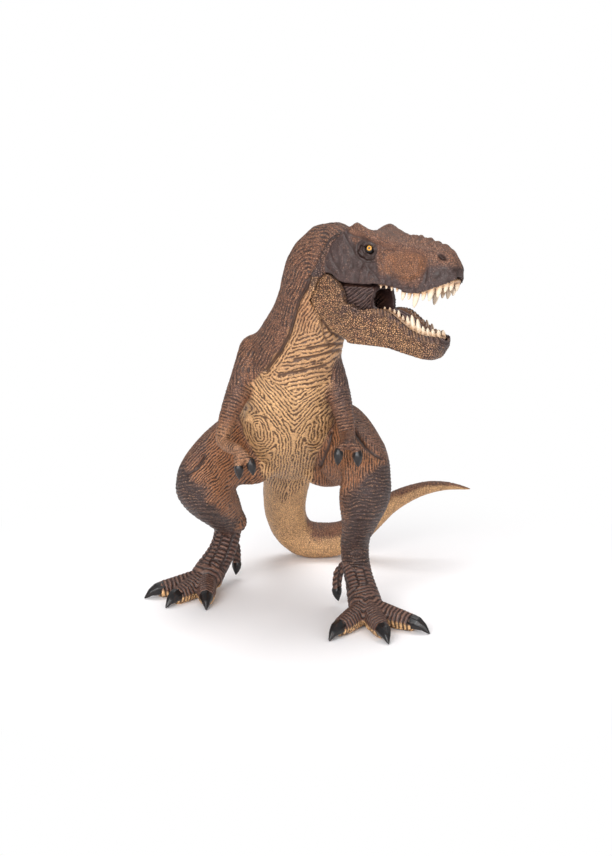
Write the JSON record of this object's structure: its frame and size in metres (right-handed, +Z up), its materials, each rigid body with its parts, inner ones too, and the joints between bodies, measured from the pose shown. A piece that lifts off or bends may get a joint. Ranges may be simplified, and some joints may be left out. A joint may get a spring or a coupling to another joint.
{
  "type": "toy dinosaur figure",
  "caption": "Moulded toy figure of a two-legged meat-eating dinosaur, standing on its feet and tail, head turned aside, with a hinged lower jaw.",
  "frame": {"origin": "on the ground, under the middle of the figure's box", "axes": "+Z up, -Y the way the figure's body faces, +X to the figure's left"},
  "size_m": [0.1492, 0.1546, 0.1753],
  "materials": {
    "hide": "brown hide, hand painted over soft vinyl",
    "belly": "tan hide, hand painted over soft vinyl",
    "mask": "dark brown hide, hand painted over soft vinyl",
    "claw": "gloss black paint",
    "tooth": "satin ivory paint",
    "mouth": "dark red-brown paint",
    "tongue": "wet-look mauve-brown paint",
    "eye": "gloss amber paint with a dark pupil",
    "steel": "plain drawn wire"
  },
  "bodies": {
    "figure": {"body": "hide", "right_leg": "hide", "left_leg": "hide", "right_foot": "hide", "left_foot": "hide", "tail": "hide", "right_arm": "hide", "left_arm": "hide", "right_outer_toe_claw": "claw", "right_middle_toe_claw": "claw", "right_inner_toe_claw": "claw", "right_hallux_claw": "claw", "left_outer_toe_claw": "claw", "left_middle_toe_claw": "claw", "left_inner_toe_claw": "claw", "left_hallux_claw": "claw", "right_outer_finger_claw": "claw", "right_inner_finger_claw": "claw", "left_inner_finger_claw": "claw", "left_outer_finger_claw": "claw", "skull": "mask", "cheek_lining": "mouth", "upper_teeth": "tooth", "jaw_pin": "steel", "right_eye": "eye", "left_eye": "eye"},
    "jaw": {"lower_jaw": "belly", "lower_teeth": "tooth", "tongue": "tongue"}
  },
  "joints": [
    {"name": "jaw_hinge", "type": "hinge", "parent": "figure", "child": "jaw", "pos_m": [0.00962, -0.04047, 0.14091], "axis": [0.5846, 0.8046, -0.1045], "range_deg": [-10, 2]}
  ]
}
